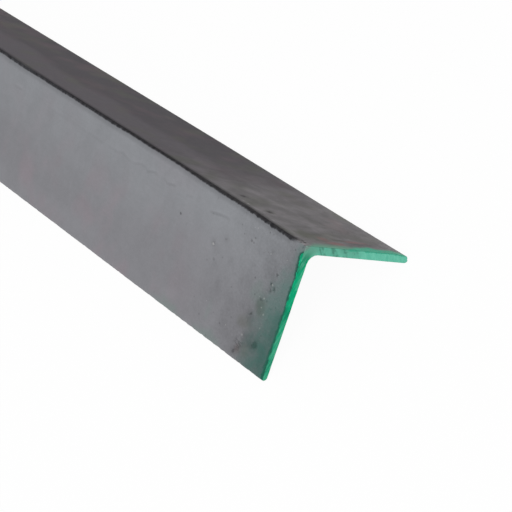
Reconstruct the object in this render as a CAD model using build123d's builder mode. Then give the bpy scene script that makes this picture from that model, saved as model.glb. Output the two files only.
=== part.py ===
"""Equal steel angle, hot rolled and sawn to length, lying on the toes of its two legs.

The legs stand like a roof, each 45 degrees down from the heel, so the heel is a ridge
along the top and the bar rests on the inside corners of both toes.

Frame, in millimetres: the origin is on the floor, midway between the toes and midway along
the bar. +X runs along the bar to its painted end, and +Z points up through the heel. Seen
from the painted end, the right leg leans towards +Y and the left leg towards -Y.
"""

import os
from math import sqrt

from build123d import *

# The rolled section
leg_width = 50.0  # outside width of each leg, from the sharp heel corner to the toe
wall = 3.0  # thickness of both legs, which don't taper
root_radius = 3.5  # hollow fillet in the inside corner
heel_radius = 1.0  # outside corner, opposite the root
toe_outer_radius = 1.7  # corner of each toe on the outside face
toe_inner_radius = 1.1  # corner of each toe on the inside face

# The bar
length = 1000.0  # as sawn, square to the legs

# A toe's two roundings share its wall and leave a little flat between them.
toe_flat = 0.04 * wall
toe_fit = min(1.0, (wall - toe_flat) / (toe_outer_radius + toe_inner_radius))
toe_outer = toe_outer_radius * toe_fit
toe_inner = toe_inner_radius * toe_fit

# The bar stands on its two inside toe corners. Where a square corner points straight down,
# its rounding ends (2 - sqrt(2)) radii short of it, measured along both sides together.
heel_height = (leg_width + wall - (2 - sqrt(2)) * toe_inner) / sqrt(2)

# The section is drawn with its sharp heel corner at (0, 0), the right leg along x and the
# left leg along y, on a plane at the painted end that leans both legs down by 45 degrees.
painted_end = Plane(
    origin=(length / 2, 0, heel_height),
    x_dir=(0, 1, -1),
    z_dir=(-1, 0, 0),
)
rolled_corners = {
    (0, 0): heel_radius,
    (wall, wall): root_radius,
    (leg_width, 0): toe_outer,
    (0, leg_width): toe_outer,
    (leg_width, wall): toe_inner,
    (wall, leg_width): toe_inner,
}

with BuildPart() as angle_section:
    with BuildSketch(painted_end) as section:
        with BuildLine():
            Polyline(
                (0, 0),
                (leg_width, 0),
                (leg_width, wall),
                (wall, wall),
                (wall, leg_width),
                (0, leg_width),
                close=True,
            )
        make_face()
        for corner, radius in rolled_corners.items():
            fillet(section.vertices().sort_by_distance(corner)[0], radius=radius)
    extrude(amount=length)

angle_section.part.label = "angle_section"

os.makedirs("parts", exist_ok=True)
export_step(angle_section.part, "parts/angle_section.step")
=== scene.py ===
from math import pi, radians, sqrt

import bpy
import numpy as np
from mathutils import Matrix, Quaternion, Vector


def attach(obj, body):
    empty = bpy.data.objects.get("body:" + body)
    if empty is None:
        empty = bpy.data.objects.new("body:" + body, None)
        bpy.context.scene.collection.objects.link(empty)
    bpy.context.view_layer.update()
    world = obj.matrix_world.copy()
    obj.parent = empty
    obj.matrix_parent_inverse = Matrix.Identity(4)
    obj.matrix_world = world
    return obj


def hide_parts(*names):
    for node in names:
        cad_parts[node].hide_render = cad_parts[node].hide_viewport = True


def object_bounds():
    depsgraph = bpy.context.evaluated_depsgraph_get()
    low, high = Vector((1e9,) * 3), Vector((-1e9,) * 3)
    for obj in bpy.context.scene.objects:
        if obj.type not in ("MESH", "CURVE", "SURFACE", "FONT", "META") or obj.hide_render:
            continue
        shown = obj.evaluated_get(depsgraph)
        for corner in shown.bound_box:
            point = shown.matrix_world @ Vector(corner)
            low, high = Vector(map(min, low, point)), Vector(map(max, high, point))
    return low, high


bl_info = {
    "name": "Steel angle section",
    "version": (1, 0, 0),
    "blender": (4, 5, 0),
    "location": "3D View > Sidebar > Angle",
    "description": "Makes a length of hot rolled equal angle with a painted end, and its stage",
    "category": "Object",
}

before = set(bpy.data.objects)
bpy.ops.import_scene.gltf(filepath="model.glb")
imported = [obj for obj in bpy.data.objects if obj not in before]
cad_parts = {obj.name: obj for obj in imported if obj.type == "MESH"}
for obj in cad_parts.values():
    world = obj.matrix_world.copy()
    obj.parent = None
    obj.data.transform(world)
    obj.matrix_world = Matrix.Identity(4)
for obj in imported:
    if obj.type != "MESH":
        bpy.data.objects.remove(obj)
CAD_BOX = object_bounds()

NODE = "angle_section"  # the solid that the bar stands for
BODY = "root"
BAKE_MAP = "OFBake"
MM = 0.001  # metres in a millimetre; all the bar's working below is in millimetres
LEFT, RIGHT = -1.0, 1.0  # the legs, seen from the painted end
# The bar's finishes, in the order of its materials
MILL_SCALE, LEFT_LEG, RIGHT_LEG, PAINTED_END, PLAIN_END = range(5)


def chip(red, green, blue):
    """A colour as a paint chip shows it, 0 to 255 a channel, as the linear numbers that shaders take."""
    shares = (part / 255 for part in (red, green, blue))
    return tuple(s / 12.92 if s <= 0.04045 else ((s + 0.055) / 1.055) ** 2.4 for s in shares)


def length_setting(name, description, default):
    """A length in the panel, in metres."""
    return bpy.props.FloatProperty(name=name, description=description, default=default, min=0.0,
                                   precision=4, subtype="DISTANCE", unit="LENGTH")


def angle_setting(name, description, degrees):
    """An angle in the panel."""
    return bpy.props.FloatProperty(name=name, description=description, default=radians(degrees),
                                   subtype="ANGLE", unit="ROTATION")


def share_setting(name, description, default, most=1.0):
    """A plain number in the panel, from 0 up."""
    return bpy.props.FloatProperty(name=name, description=description, default=default, min=0.0, max=most,
                                   subtype="FACTOR")


def colour_setting(name, description, *chip_parts):
    """A colour in the panel, given as a paint chip's red, green and blue."""
    return bpy.props.FloatVectorProperty(name=name, description=description, default=chip(*chip_parts),
                                         size=3, min=0.0, max=1.0, subtype="COLOR")


class AngleSizes(bpy.types.PropertyGroup):
    """Sizes of the rolled section and of the cut bar."""
    length: length_setting("Length", "Length of the bar as sawn", CAD_BOX[1].x - CAD_BOX[0].x)
    leg_width: length_setting("Leg width", "Outside width of each leg, from the sharp heel corner", 0.050)
    wall: length_setting("Thickness", "Thickness of both legs", 0.003)
    heel_radius: length_setting("Heel radius", "Outside corner between the legs", 0.001)
    root_radius: length_setting("Root radius", "Hollow fillet in the inside corner", 0.0035)
    toe_outer: length_setting("Outer toe radius", "Toe corner on the outside face", 0.0017)
    toe_inner: length_setting("Inner toe radius", "Toe corner on the inside face", 0.0011)
    cut_rounding: length_setting("Cut rounding", "Worn edge round each sawn end", 0.0002)


class AngleRelief(bpy.types.PropertyGroup):
    """Heights of the relief that rolling and sawing leave."""
    mill_wave: length_setting("Mill wave", "Height of the long soft waves in the rolled faces", 0.00005)
    roll_line: length_setting("Roll lines", "Height of the lines that run along the bar", 0.000006)
    heel_wear: length_setting("Heel roughness", "Depth of the rough scale along the heel", 0.00006)
    toe_wear: length_setting("Toe roughness", "Depth of the uneven toe edges", 0.00009)
    toe_droop: length_setting("Toe droop", "How far the right toe rolls off by the painted cut", 0.00033)
    saw_mark: length_setting("Saw marks", "Depth of the saw's marks in the ends", 0.00004)


class AngleFinish(bpy.types.PropertyGroup):
    """Colours of the steel and of the paint."""
    left_upper: colour_setting("Left leg, upper", "Bluish scale near the heel", 134, 136, 140)
    left_lower: colour_setting("Left leg, lower", "Greyer scale towards the toe", 127, 127, 131)
    # Painted shade: the right leg's colours are its scale tones made darker than the left leg's, standing in
    # for the shade on the leg turned away from the key light.
    right_near_shaded: colour_setting("Right leg, near", "Scale by the painted end", 127, 124, 126)
    right_far_shaded: colour_setting("Right leg, far", "Darker scale along the bar", 98, 94, 99)
    inside: colour_setting("Inside faces", "Scale inside the angle", 112, 110, 113)
    blush: colour_setting("Blush", "Purple tint of thin scale", 136, 127, 133)
    # Painted shade: the dark blush is the blush darkened like the rest of the right leg.
    plum_shaded: colour_setting("Dark blush", "Purple tint on the right leg", 108, 94, 100)
    moss: colour_setting("Olive tint", "Faint olive in the scale", 98, 101, 90)
    heel_line: colour_setting("Heel line", "Black scale rolled into the heel", 35, 34, 37)
    soot: colour_setting("Dark scale", "Dark blotches and pits", 56, 55, 56)
    bare: colour_setting("Bare steel", "Steel where scale is knocked off", 176, 176, 174)
    scuffed: colour_setting("Scuffed paint", "Grey scuff over the paint at the heel", 122, 132, 130)
    rust: colour_setting("Brown tint", "Thin brown stain on the right leg by the cut", 150, 114, 114)
    umber: colour_setting("Dull brown", "Brown where scale has flaked on the left leg", 118, 100, 96)
    toe_green: colour_setting("Green tint", "Faint green by the left toe", 112, 134, 126)
    pale_spray: colour_setting("Pale overspray", "Thin overspray on the left leg", 88, 116, 111)
    overspray: colour_setting("Overspray", "Dull green mist on the steel by the cut", 63, 100, 93)
    haze: colour_setting("Thin haze", "Pale green haze on the right leg by the cut", 118, 190, 160)
    emerald: colour_setting("Paint, thick", "Green paint on the left leg's end", 0, 160, 112)
    bright: colour_setting("Paint, bright strokes", "Lighter strokes in the thick paint", 52, 184, 144)
    deep: colour_setting("Paint, deep patches", "Darker patches in the thick paint", 10, 132, 96)
    mint: colour_setting("Paint, thin", "Paler green on the right leg's end", 112, 198, 172)
    shade_mint: colour_setting("Paint, thin strokes", "Darker strokes in the thin paint", 92, 184, 158)
    band: colour_setting("Paint band", "Thick paint along the right leg's outer edge", 58, 162, 132)
    paint_edge: colour_setting("Paint over edge", "Green where the paint wraps the right leg", 66, 190, 154)
    strand: colour_setting("Paint strands", "Light strands in the paint of the left leg's end", 96, 182, 150)
    rubbed: colour_setting("Paint, rubbed", "Duller paint low on the left leg's end", 48, 140, 112)
    heel_paint: colour_setting("Paint by the heel", "Greyish thin paint in the outer corner", 96, 153, 133)
    worn: colour_setting("Worn paint", "Dark dashes that the paint missed", 56, 106, 90)
    # Drawn as a dark line along the left leg's painted edge, on the end and on the face beside it.
    drip: colour_setting("Paint edge shade", "Dark green where the paint's edge holds dirt", 32, 82, 70)


class AngleStage(bpy.types.PropertyGroup):
    """Floor, light and camera."""
    floor: colour_setting("Floor", "Pale floor and backdrop", 250, 250, 250)
    sky_level: share_setting("Sky level", "Plain light from all round", 0.50, 2.0)
    key_power: bpy.props.FloatProperty(name="Key light", description="Soft lamp on the left leg's side",
                                       default=32.0, min=0.0, unit="POWER")
    lens: bpy.props.FloatProperty(name="Lens", description="Focal length in millimetres", default=118.42,
                                  min=1.0)
    azimuth: angle_setting("Azimuth", "Camera's way round from the front of the bar", 67.75)
    elevation: angle_setting("Elevation", "Camera's height above the horizon", 40.73)
    roll: angle_setting("Roll", "Camera's turn about its own line of sight", -23.96)
    distance: length_setting("Distance", "Camera to the point it looks at", 0.559)
    target: bpy.props.FloatVectorProperty(name="Looks at", description="Point in the middle of the picture",
                                          default=(0.4914, -0.0145, 0.0399), size=3, subtype="XYZ",
                                          unit="LENGTH")


# ---------------------------------------------------------------- the bar's shape

TOE_STEPS = 4
FACE_STEPS = 48
HEEL_STEPS = 8
CUT_STEPS = 3
CAP_ROWS = (0.05, 0.16, 0.32, 0.5, 0.68, 0.84, 0.95)  # shares of the wall, outside to inside
# Rings round the bar: up to this far from the painted cut, one every so many millimetres
RING_PITCH = ((50.0, 0.4), (200.0, 1.25), (1000.0, 3.3))
LEGS_STRETCH = 200.0  # the legs' outer faces have finishes of their own this far from the painted cut
MARK_LONGER = 1.15  # marks are this much longer than wide
MARK_FALL, RIM_FALL = 1.6, 7.0  # how steeply a mark and its rim fall off
OUTSIDE_WAVES, EDGE_WAVES = 300.0, 40.0  # shift the outside's waves away from the inside's
CHEWED_EDGE = 0.45  # how uneven the worn edges of the ends are
SAW_WAY = np.array([0.8, 0.6])  # across the saw's marks, in the section
END_ROOM = 51.0  # millimetres that an end takes in the bake map, each way
# Where each pattern of the relief starts, so that it comes out the same every time
SEEDS = {"waves": 11, "lines": 12, "heel": 13, "toes": 14, "patches": 15, "cut edges": 21, "saw": 30}


def arc(centre, radius, start, end, steps, hollow=False):
    """Points along a rounded corner and the ways out of the metal there; angles in degrees."""
    angle = np.radians(np.linspace(start, end, steps + 1))
    ray = np.column_stack([np.cos(angle), np.sin(angle)])
    return np.asarray(centre) + radius * ray, -ray if hollow else ray


def flat(first, last, way_out, steps):
    """Points along a flat face and the way out of the metal there."""
    share = np.linspace(0.0, 1.0, steps + 1)[:, None]
    return (1 - share) * np.asarray(first) + share * np.asarray(last), np.tile(way_out, (steps + 1, 1))


def join_runs(*runs):
    """Runs that meet end to end, as one run of points and ways out."""
    return tuple(np.vstack([run[part][:-1] for run in runs] + [runs[-1][part][-1:]]) for part in (0, 1))


def outside_path(leg, toe, heel):
    """The outside of the section from the left toe over the heel to the right toe."""
    return join_runs(
        arc((toe, leg - toe), toe, 90, 180, TOE_STEPS),
        flat((0, leg - toe), (0, heel), (-1, 0), FACE_STEPS),
        arc((heel, heel), heel, 180, 270, HEEL_STEPS),
        flat((heel, 0), (leg - toe, 0), (0, -1), FACE_STEPS),
        arc((leg - toe, toe), toe, 270, 360, TOE_STEPS))


def inside_path(leg, wall, toe, root):
    """The inside of the section from the left toe through the root to the right toe."""
    hollow = wall + root
    return join_runs(
        arc((wall - toe, leg - toe), toe, 90, 0, TOE_STEPS),
        flat((wall, leg - toe), (wall, hollow), (1, 0), FACE_STEPS),
        arc((hollow, hollow), root, 180, 270, HEEL_STEPS, hollow=True),
        flat((hollow, wall), (leg - toe, wall), (0, 1), FACE_STEPS),
        arc((leg - toe, wall - toe), toe, 90, 0, TOE_STEPS))


def run_length(points):
    """Distance along a path, 0 at its middle."""
    steps = np.linalg.norm(np.diff(points, axis=0), axis=1)
    along = np.concatenate([[0.0], np.cumsum(steps)])
    return along - along[-1] / 2


def ripples(along, across, count, long_waves, cross_waves, seed):
    """Soft irregular waves, mostly between -1 and 1: a fixed sum of slanted ripples."""
    dice = np.random.default_rng(seed)
    total = 0.0
    for _ in range(count):
        slant = dice.choice((-1.0, 1.0)) * across / dice.uniform(*cross_waves)
        total = total + np.cos(2 * pi * (along / dice.uniform(*long_waves) + slant + dice.random()))
    return total / sqrt(count)


def ease(value, start, end):
    """0 before start, 1 after end, smooth between."""
    share = np.clip((value - start) / (end - start), 0.0, 1.0)
    return share * share * (3 - 2 * share)


# Marks on each leg's outer face: mm from the painted cut, mm from the heel, radius, depth, height of a rim
MARKS = {
    LEFT: (
        (26.1, 9.1, 0.75, 0.09, 0), (24.7, 9.3, 0.5, 0.08, 0), (25.2, 8.2, 0.6, -0.02, 0),
        (24.7, 7.4, 0.35, 0.08, 0), (66.4, 15.4, 0.6, 0.12, 0), (61.5, 17.3, 0.7, 0.04, 0),
        (44.3, 17.8, 0.6, -0.06, 0.03), (38.6, 13.7, 0.6, 0.06, 0), (41.7, 22.5, 0.7, 0.06, 0),
        (14.4, 8.3, 0.7, 0.06, 0), (8.8, 14.1, 0.65, 0.12, 0), (10.2, 18.2, 0.75, 0.2, 0.02),
        (8, 19.1, 0.8, 0.24, 0.03), (9.3, 18.2, 0.45, -0.1, 0), (9.5, 20.5, 0.75, 0.12, 0.02),
        (12.5, 24.8, 0.65, 0.11, 0), (11, 24, 0.45, -0.07, 0), (10.8, 27.3, 0.4, -0.05, 0.02),
        (6.3, 25.8, 0.7, 0.1, 0), (6.3, 29.8, 0.7, 0.1, 0), (8.9, 29.1, 0.45, -0.09, 0),
        (14.8, 31.5, 0.8, 0.13, 0), (8.2, 40, 1, 0.17, 0), (15.7, 39.8, 0.5, -0.04, 0),
        (17.5, 46.8, 0.7, 0.1, 0), (1.4, 0.9, 0.5, 0.1, 0)),
    RIGHT: (
        (5.2, 2.4, 0.8, 0.14, 0), (3.5, 2, 0.75, 0.16, 0), (3.7, 0.4, 0.5, 0.11, 0),
        (1.3, 0, 0.55, 0.15, 0), (46, 8.2, 1.3, 0.1, 0), (31.8, 8.8, 1.3, 0.13, 0),
        (41.5, 4.3, 0.6, -0.05, 0), (38.2, 4, 0.6, -0.06, 0), (30, 5, 0.6, -0.05, 0),
        (22.7, 3.2, 0.6, -0.06, 0)),
}
# Which way the brush went over each leg of the painted end, in the section
BRUSHED_LEFT = radians(74)
BRUSHED_RIGHT = radians(-57)
# Strokes that the brush missed on the right leg of the painted end: mm from the heel, strength
STROKES = (
    (0, 0), (5.6, 0), (6.2, 0.9), (6.9, 0.2), (7.6, 0.9), (8.7, 0.1), (11.5, 0.2), (12.3, 0.9),
    (13.6, 0.7), (15, 0.1), (17, 0.5), (18.2, 1), (19.4, 0.2), (21.6, 0.2), (22.2, 0.6), (23.1, 0.1),
    (23.9, 0.5), (24.8, 0))
# Soft patches of each kind on each leg: mm from the cut, mm from the heel, reach along and over it, strength
PATCHES = {
    "darker": {
        LEFT: (
            (13, 13, 4.6, 5.2, 0.1), (9.3, 18, 2.4, 3.4, 0.1), (11.8, 26.8, 3, 4, 0.1),
            (14.8, 32.6, 3, 3, 0.11), (19.5, 30.9, 2.4, 1.3, 0.08), (12.2, 40, 3.8, 4, 0.17),
            (8.2, 40.2, 1.9, 1.8, 0.44), (8.4, 40.4, 4.2, 3.4, 0.16), (3.2, 42, 2, 5, 0.14),
            (2, 33, 1.6, 4, 0.12), (44, 33, 42, 22, 0.035), (15.4, 45.2, 2.8, 2.8, 0.08),
            (17.5, 46.8, 1.6, 1.6, 0.12), (16.6, 41, 1.8, 2.4, -0.09), (36, 29.3, 1.4, 2.4, 0.07),
            (35, 32.5, 4.4, 4.6, 0.05), (40.5, 24, 2, 1.6, 0.07), (33, 19, 2, 2, 0.06),
            (38.5, 13.8, 1.8, 1.3, 0.06), (24.8, 24, 1.4, 2.6, 0.06), (21, 15.5, 2.8, 1.6, 0.05),
            (25, 31.5, 2.8, 1.4, 0.06), (20.5, 10.5, 1.8, 1.3, 0.06), (14.5, 7.9, 2.2, 1.3, 0.06),
            (44.3, 17.6, 2, 1.8, 0.12), (60, 21.7, 2.6, 1.8, 0.05), (20, 3, 50, 7, 0.03),
            (7, 8.5, 7.5, 6.5, 0.06), (10, 15.8, 2.2, 2.4, 0.06), (9, 37.6, 2.4, 2.4, 0.05),
            (42, 19, 3.2, 2.4, 0.05), (24, 46.8, 4.5, 2.6, -0.06), (61, 43.4, 7, 3.2, -0.06)),
        RIGHT: (
            # Painted highlight: the long light patch along the right toe by the cut, and the smaller one
            # beside it, stand for the toe rolling off towards the lamp.
            (2.4, 1.6, 4.4, 2.4, -0.3), (25, 47, 48, 10.5, -0.16), (6, 43.5, 6, 5.5, -0.07),
            (13, 14.5, 3, 4.6, 0.18), (31.8, 8.8, 2.2, 2.2, 0.2), (46, 8.2, 2.6, 2, 0.2),
            (42, 20, 6, 3.4, -0.17), (53, 18, 6, 3.2, -0.12), (19, 21, 6, 4, -0.08),
            (32.5, 25.5, 6, 4, 0.09), (8.4, 22, 1.1, 4, 0.2), (12.5, 20.7, 2, 2.2, -0.15),
            (6.4, 32.5, 1.4, 7, 0.22), (10.4, 28.2, 1.5, 2.4, -0.16)),
    },
    "olive": {
        LEFT: (
            (10.8, 27.5, 3.4, 4.6, 0.5), (16.5, 35.5, 4.8, 2.8, 0.35), (12, 44.2, 2.8, 3, 0.4)),
        RIGHT: (
            (12, 9.5, 5, 6.5, 0.5), (31.8, 8.8, 3, 2.6, 0.3), (8.4, 22, 1.4, 4.5, 0.4)),
    },
    "brown": {
        LEFT: ((15.6, 45, 2.2, 2.4, 0.3),),
        RIGHT: (
            (4.9, 17.5, 1.9, 5.4, 0.75), (8.4, 14.8, 2.6, 2.6, 0.5), (8, 29.5, 1.3, 5.8, 0.65),
            (21, 33, 6, 6, 0.1), (28, 37.5, 5, 4, 0.12)),
    },
    "greenish": {
        LEFT: (
            (15, 23.5, 4.6, 5, 0.3), (33, 49.5, 9.5, 4.4, 0.36), (58, 49.5, 10.5, 4.4, 0.34),
            (36, 40, 1.6, 5, 0.16)),
    },
}


def skin_depth(from_cut, from_heel, edge, outside, relief):
    """How far the real skin lies under the drawn section, at places given in millimetres."""
    open_face = ease(np.abs(from_heel), 1.8, 5.0) * ease(edge, 1.8, 5.0)
    layer = OUTSIDE_WAVES * outside
    wave = ripples(from_cut, from_heel + layer, 10, (60, 260), (28, 110), SEEDS["waves"])
    lines = ripples(from_cut, from_heel + layer, 12, (160, 900), (2.4, 8), SEEDS["lines"])
    depth = open_face * (relief.mill_wave * wave + relief.roll_line * lines) / MM
    bristle = np.abs(ripples(from_cut, from_heel, 16, (0.9, 6), (1.5, 6), SEEDS["heel"]))
    heel = outside * (1 - ease(np.abs(from_heel), 0.9, 2.0))
    depth = depth + heel * relief.heel_wear / MM * bristle
    nibble = np.abs(ripples(from_cut, from_heel, 16, (1.6, 14), (4, 12), SEEDS["toes"]))
    depth = depth + outside * (1 - ease(edge, 0.9, 2.4)) * relief.toe_wear / MM * nibble
    rolled_off = outside * (from_heel > 0) * (1 - ease(edge, 2.0, 8.0)) * (1 - ease(from_cut, 25.0, 125.0))
    depth = depth + rolled_off * relief.toe_droop / MM
    for leg, marks in MARKS.items():
        for cut, heel_run, radius, sunk, rim in marks:
            reach = np.hypot((from_cut - cut) / MARK_LONGER, from_heel - leg * heel_run) / radius
            depth = depth + outside * sunk * np.exp(-MARK_FALL * reach ** 2)
            depth = depth - outside * rim * np.exp(-RIM_FALL * (reach - 1.0) ** 2)
    return depth


def patch_strength(kind, from_cut, from_heel, outside):
    """How strong the soft patches of one kind are at each place."""
    sway = 0.12 * ripples(from_cut, from_heel, 14, (3, 14), (3, 12), SEEDS["patches"])
    total = 0.0
    for leg, patches in PATCHES[kind].items():
        for cut, heel_run, along, over, strength in patches:
            reach = np.hypot((from_cut - cut) / along, (from_heel - leg * heel_run) / over)
            reach = reach + sway * ease(reach, 0.0, 0.6)
            total = total + outside * strength * (1 - ease(reach, 0.3, 1.15))
    return total


class Section:
    """The rolled section as one closed run of points, with what each point needs to be placed."""

    def __init__(self, sizes):
        leg, wall = sizes.leg_width / MM, sizes.wall / MM
        toe_in = sizes.toe_inner / MM
        self.heel_height = (leg + wall - (2 - sqrt(2)) * toe_in) / sqrt(2)
        self.outer, self.outer_way = outside_path(leg, sizes.toe_outer / MM, sizes.heel_radius / MM)
        self.inner, self.inner_way = inside_path(leg, wall, toe_in, sizes.root_radius / MM)
        back = slice(None, None, -2)  # every second inside point, from the right toe to the left
        self.points = np.vstack([self.outer, self.inner[back]])
        self.ways = np.vstack([self.outer_way, self.inner_way[back]])
        self.from_heel = np.concatenate([run_length(self.outer), run_length(self.inner)[back]])
        self.outside = np.concatenate([np.ones(len(self.outer)), np.zeros(len(self.inner[back]))])
        reach = np.where(self.outside > 0, run_length(self.outer)[-1], run_length(self.inner)[-1])
        self.to_toe = reach - np.abs(self.from_heel)
        steps = np.linalg.norm(np.diff(np.vstack([self.points, self.points[:1]]), axis=0), axis=1)
        self.girth = np.concatenate([[0.0], np.cumsum(steps)])  # way round the section, with its end

    def place(self, across, from_cut, length):
        """Points of the section's own plane, set from_cut millimetres from the painted end, in metres."""
        right_run, left_run = across[..., 0], across[..., 1]
        x = length / 2 - from_cut
        y = (right_run - left_run) / sqrt(2)
        z = self.heel_height - (right_run + left_run) / sqrt(2)
        return np.stack(np.broadcast_arrays(x, y, z), axis=-1) * MM


def ring_places(length, rounding):
    """Where the rings stand: millimetres from the painted cut, and how far each is drawn in."""
    turn = np.radians(np.linspace(90, 0, CUT_STEPS + 1))
    cut_run, drawn_in = rounding * (1 - np.sin(turn)), rounding * (1 - np.cos(turn))
    middle, place = [], rounding
    for limit, pitch in RING_PITCH:
        limit = min(limit, length) if limit < RING_PITCH[-1][0] else length - rounding
        count = max(1, round((limit - place) / pitch))
        middle.extend(np.linspace(place, limit, count + 1)[1:])
        place = limit
    from_cut = np.concatenate([cut_run, middle[:-1], length - cut_run[::-1]])
    draw = np.concatenate([drawn_in, np.zeros(len(middle) - 1), drawn_in[::-1]])
    return from_cut, draw


# The bake map is a square, this many units wide; the stretch by the painted end is laid out larger
MAP_SIDE = 704.0
MAP_GAP = 5.0
NEAR_STRETCH, NEAR_UNITS = 100.0, 3.4  # millimetres of bar, and units a millimetre
ROW_STRETCH, FAR_UNITS = 780.0, 0.87


def unroll_map(girth, down, start):
    """Places in the bake map for the skin's faces: the near stretch unrolled large, the rest in two rows."""
    near = (start < NEAR_STRETCH)[:, None]
    first_row = (start < NEAR_STRETCH + ROW_STRETCH)[:, None]
    row_start = np.where(first_row, NEAR_STRETCH, NEAR_STRETCH + ROW_STRETCH)
    row_top = 2 * MAP_GAP + (NEAR_STRETCH + 1) * NEAR_UNITS
    row_top = row_top + np.where(first_row, 0.0, girth.max() * FAR_UNITS + MAP_GAP)
    u = np.where(near, girth * NEAR_UNITS, (down - row_start) * FAR_UNITS) + MAP_GAP
    v = np.where(near, down * NEAR_UNITS + MAP_GAP, girth * FAR_UNITS + row_top)
    return np.stack([u, v], -1)


def cap_map(across, end):
    """Places in the bake map for an end's points: the section as it is, in the map's last corner."""
    size = END_ROOM * NEAR_UNITS
    corner = np.array([MAP_SIDE - end * (size + MAP_GAP), MAP_SIDE - size - MAP_GAP])
    return corner + across * NEAR_UNITS


def saw_lines(across, end):
    """The saw's marks on an end, slanting over the section."""
    side = np.array([SAW_WAY[1], -SAW_WAY[0]])
    return ripples(across @ SAW_WAY, across @ side, 10, (1.4, 5.0), (40, 160), SEEDS["saw"] + end)


def cap_grid(edge, outer_count, first_index, new_index, end):
    """An end's new points, row by row from the outside to the inside of the wall, and its faces."""
    outer_edge, inner_edge = edge[:outer_count], edge[outer_count:][::-1]
    inner_full = np.empty_like(outer_edge)
    inner_full[::2], inner_full[1::2] = inner_edge, (inner_edge[:-1] + inner_edge[1:]) / 2
    points = np.vstack([outer_edge * (1 - share) + inner_full * share for share in CAP_ROWS])
    rows = [first_index + np.arange(outer_count)]
    rows += [new_index + row * outer_count + np.arange(outer_count) for row in range(len(CAP_ROWS))]
    inner_row = first_index + len(edge) - 1 - np.arange(len(inner_edge))
    faces = []
    for upper, lower in zip(rows[:-1], rows[1:]):
        faces += zip(upper[:-1], lower[:-1], lower[1:], upper[1:])
    last = rows[-1]
    for j, (here, there) in enumerate(zip(inner_row[:-1], inner_row[1:])):
        near, middle, far = last[2 * j:2 * j + 3]
        faces += [(near, here, middle), (here, there, middle), (middle, there, far)]
    if end == PLAIN_END:
        faces = [face[::-1] for face in faces]
    return points, faces


def build_bar_mesh(sizes, relief):
    """The bar as one closed mesh: rolled skin, worn cut edges and two sawn ends."""
    section, length = Section(sizes), sizes.length / MM
    from_cut, draw = ring_places(length, sizes.cut_rounding / MM)
    around, rings = len(section.points), len(from_cut)
    chew = 1 + CHEWED_EDGE * ripples(section.from_heel, section.outside * EDGE_WAVES, 14, (1.5, 11), (9, 30),
                                     SEEDS["cut edges"])
    depth = skin_depth(from_cut[:, None], section.from_heel, section.to_toe, section.outside, relief)
    depth = depth + draw[:, None] * chew
    across = section.points - section.ways * depth[..., None]
    ring, step = (grid.ravel() for grid in np.meshgrid(range(rings - 1), range(around), indexing="ij"))
    after = (step + 1) % around
    faces = list(zip(ring * around + step, ring * around + after,
                     (ring + 1) * around + after, (ring + 1) * around + step))
    corner_girth = section.girth[np.stack([step, step + 1, step + 1, step], -1)]
    corner_down = from_cut[np.stack([ring, ring, ring + 1, ring + 1], -1)]
    maps = [unroll_map(corner_girth, corner_down, from_cut[ring]).reshape(-1, 2)]
    worn = rings - 1 - CUT_STEPS
    heel, last = (len(section.outer) - 1) // 2, around - 1
    painted_stretch = ring < np.searchsorted(from_cut, LEGS_STRETCH)
    on_left = painted_stretch & ((step < heel) | (step == last))
    on_right = painted_stretch & (step >= heel) & (step < len(section.outer))
    finish = list(np.select([ring < CUT_STEPS, ring >= worn, on_left, on_right],
                            [PAINTED_END, PLAIN_END, LEFT_LEG, RIGHT_LEG], MILL_SCALE))
    points = [section.place(across, from_cut[:, None], length).reshape(-1, 3)]
    from_heel, outside = [np.tile(section.from_heel, rings)], [np.tile(section.outside, rings)]
    patches = {kind: [patch_strength(kind, from_cut[:, None], section.from_heel, section.outside).ravel()]
               for kind in PATCHES}
    total = rings * around
    for end, at, inward in ((PAINTED_END, 0, 1.0), (PLAIN_END, rings - 1, -1.0)):
        new, cap = cap_grid(across[at], len(section.outer), at * around, total, end)
        saw = inward * relief.saw_mark / MM * (0.5 + 0.25 * saw_lines(new, end)).clip(0.0)
        points.append(section.place(new, from_cut[at] + saw, length))
        everywhere = np.vstack([np.zeros((total, 2)), new])
        everywhere[at * around:(at + 1) * around] = across[at]
        maps.append(cap_map(everywhere[np.concatenate(cap)], end))
        finish += [end] * len(cap)
        faces += cap
        from_heel.append(np.zeros(len(new)))
        outside.append(np.full(len(new), 0.5))
        for strengths in patches.values():
            strengths.append(np.zeros(len(new)))
        total += len(new)
    mesh = bpy.data.meshes.new("angle_bar")
    mesh.from_pydata(np.vstack(points).tolist(), [], [[int(corner) for corner in face] for face in faces])
    mesh.polygons.foreach_set("material_index", np.asarray(finish, dtype=np.int32))
    mesh.polygons.foreach_set("use_smooth", np.ones(len(faces), dtype=bool))
    bake = mesh.uv_layers.new(name=BAKE_MAP)
    bake.data.foreach_set("uv", (np.vstack(maps) / MAP_SIDE).ravel())
    for name, parts in {"from_heel": from_heel, "outside": outside, **patches}.items():
        mesh.attributes.new(name, "FLOAT", "POINT").data.foreach_set("value", np.concatenate(parts))
    mesh.update()
    return mesh


# ---------------------------------------------------------------- laying out nodes

SKIN_LAYER = 400.0  # keeps the outside's patterns apart from the inside's
LAP_REACH = 10.0  # the farthest that the lapped line may be from the heel, in millimetres
PAINT_HEIGHT = 0.04  # how far thick paint stands up, in millimetres
HEEL_ROUGHER, PITS_ROUGHER = 0.15, 0.15  # what the black heel and the pits add to the scale's roughness
WHITE = (1.0, 1.0, 1.0)
SCALE_GLOSS = {"Specular IOR Level": 0.04}
PAINT_GLOSS = {"Specular IOR Level": 0.05}
BARE_METAL = {"Metallic": 0.85}
# Sockets of the shared groups that aren't plain numbers, and numbers that don't start at 0
SOCKET_KINDS = {"Color": "Color", "Vector": "Vector", "Skin": "Vector", "Section": "Vector",
                "Place": "Vector", "Brushed": "Vector"}
SOCKET_STARTS = {"Outside": 1.0, "Size": 1.0, "Radius": 1.0, "Depth": 0.02}


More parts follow.
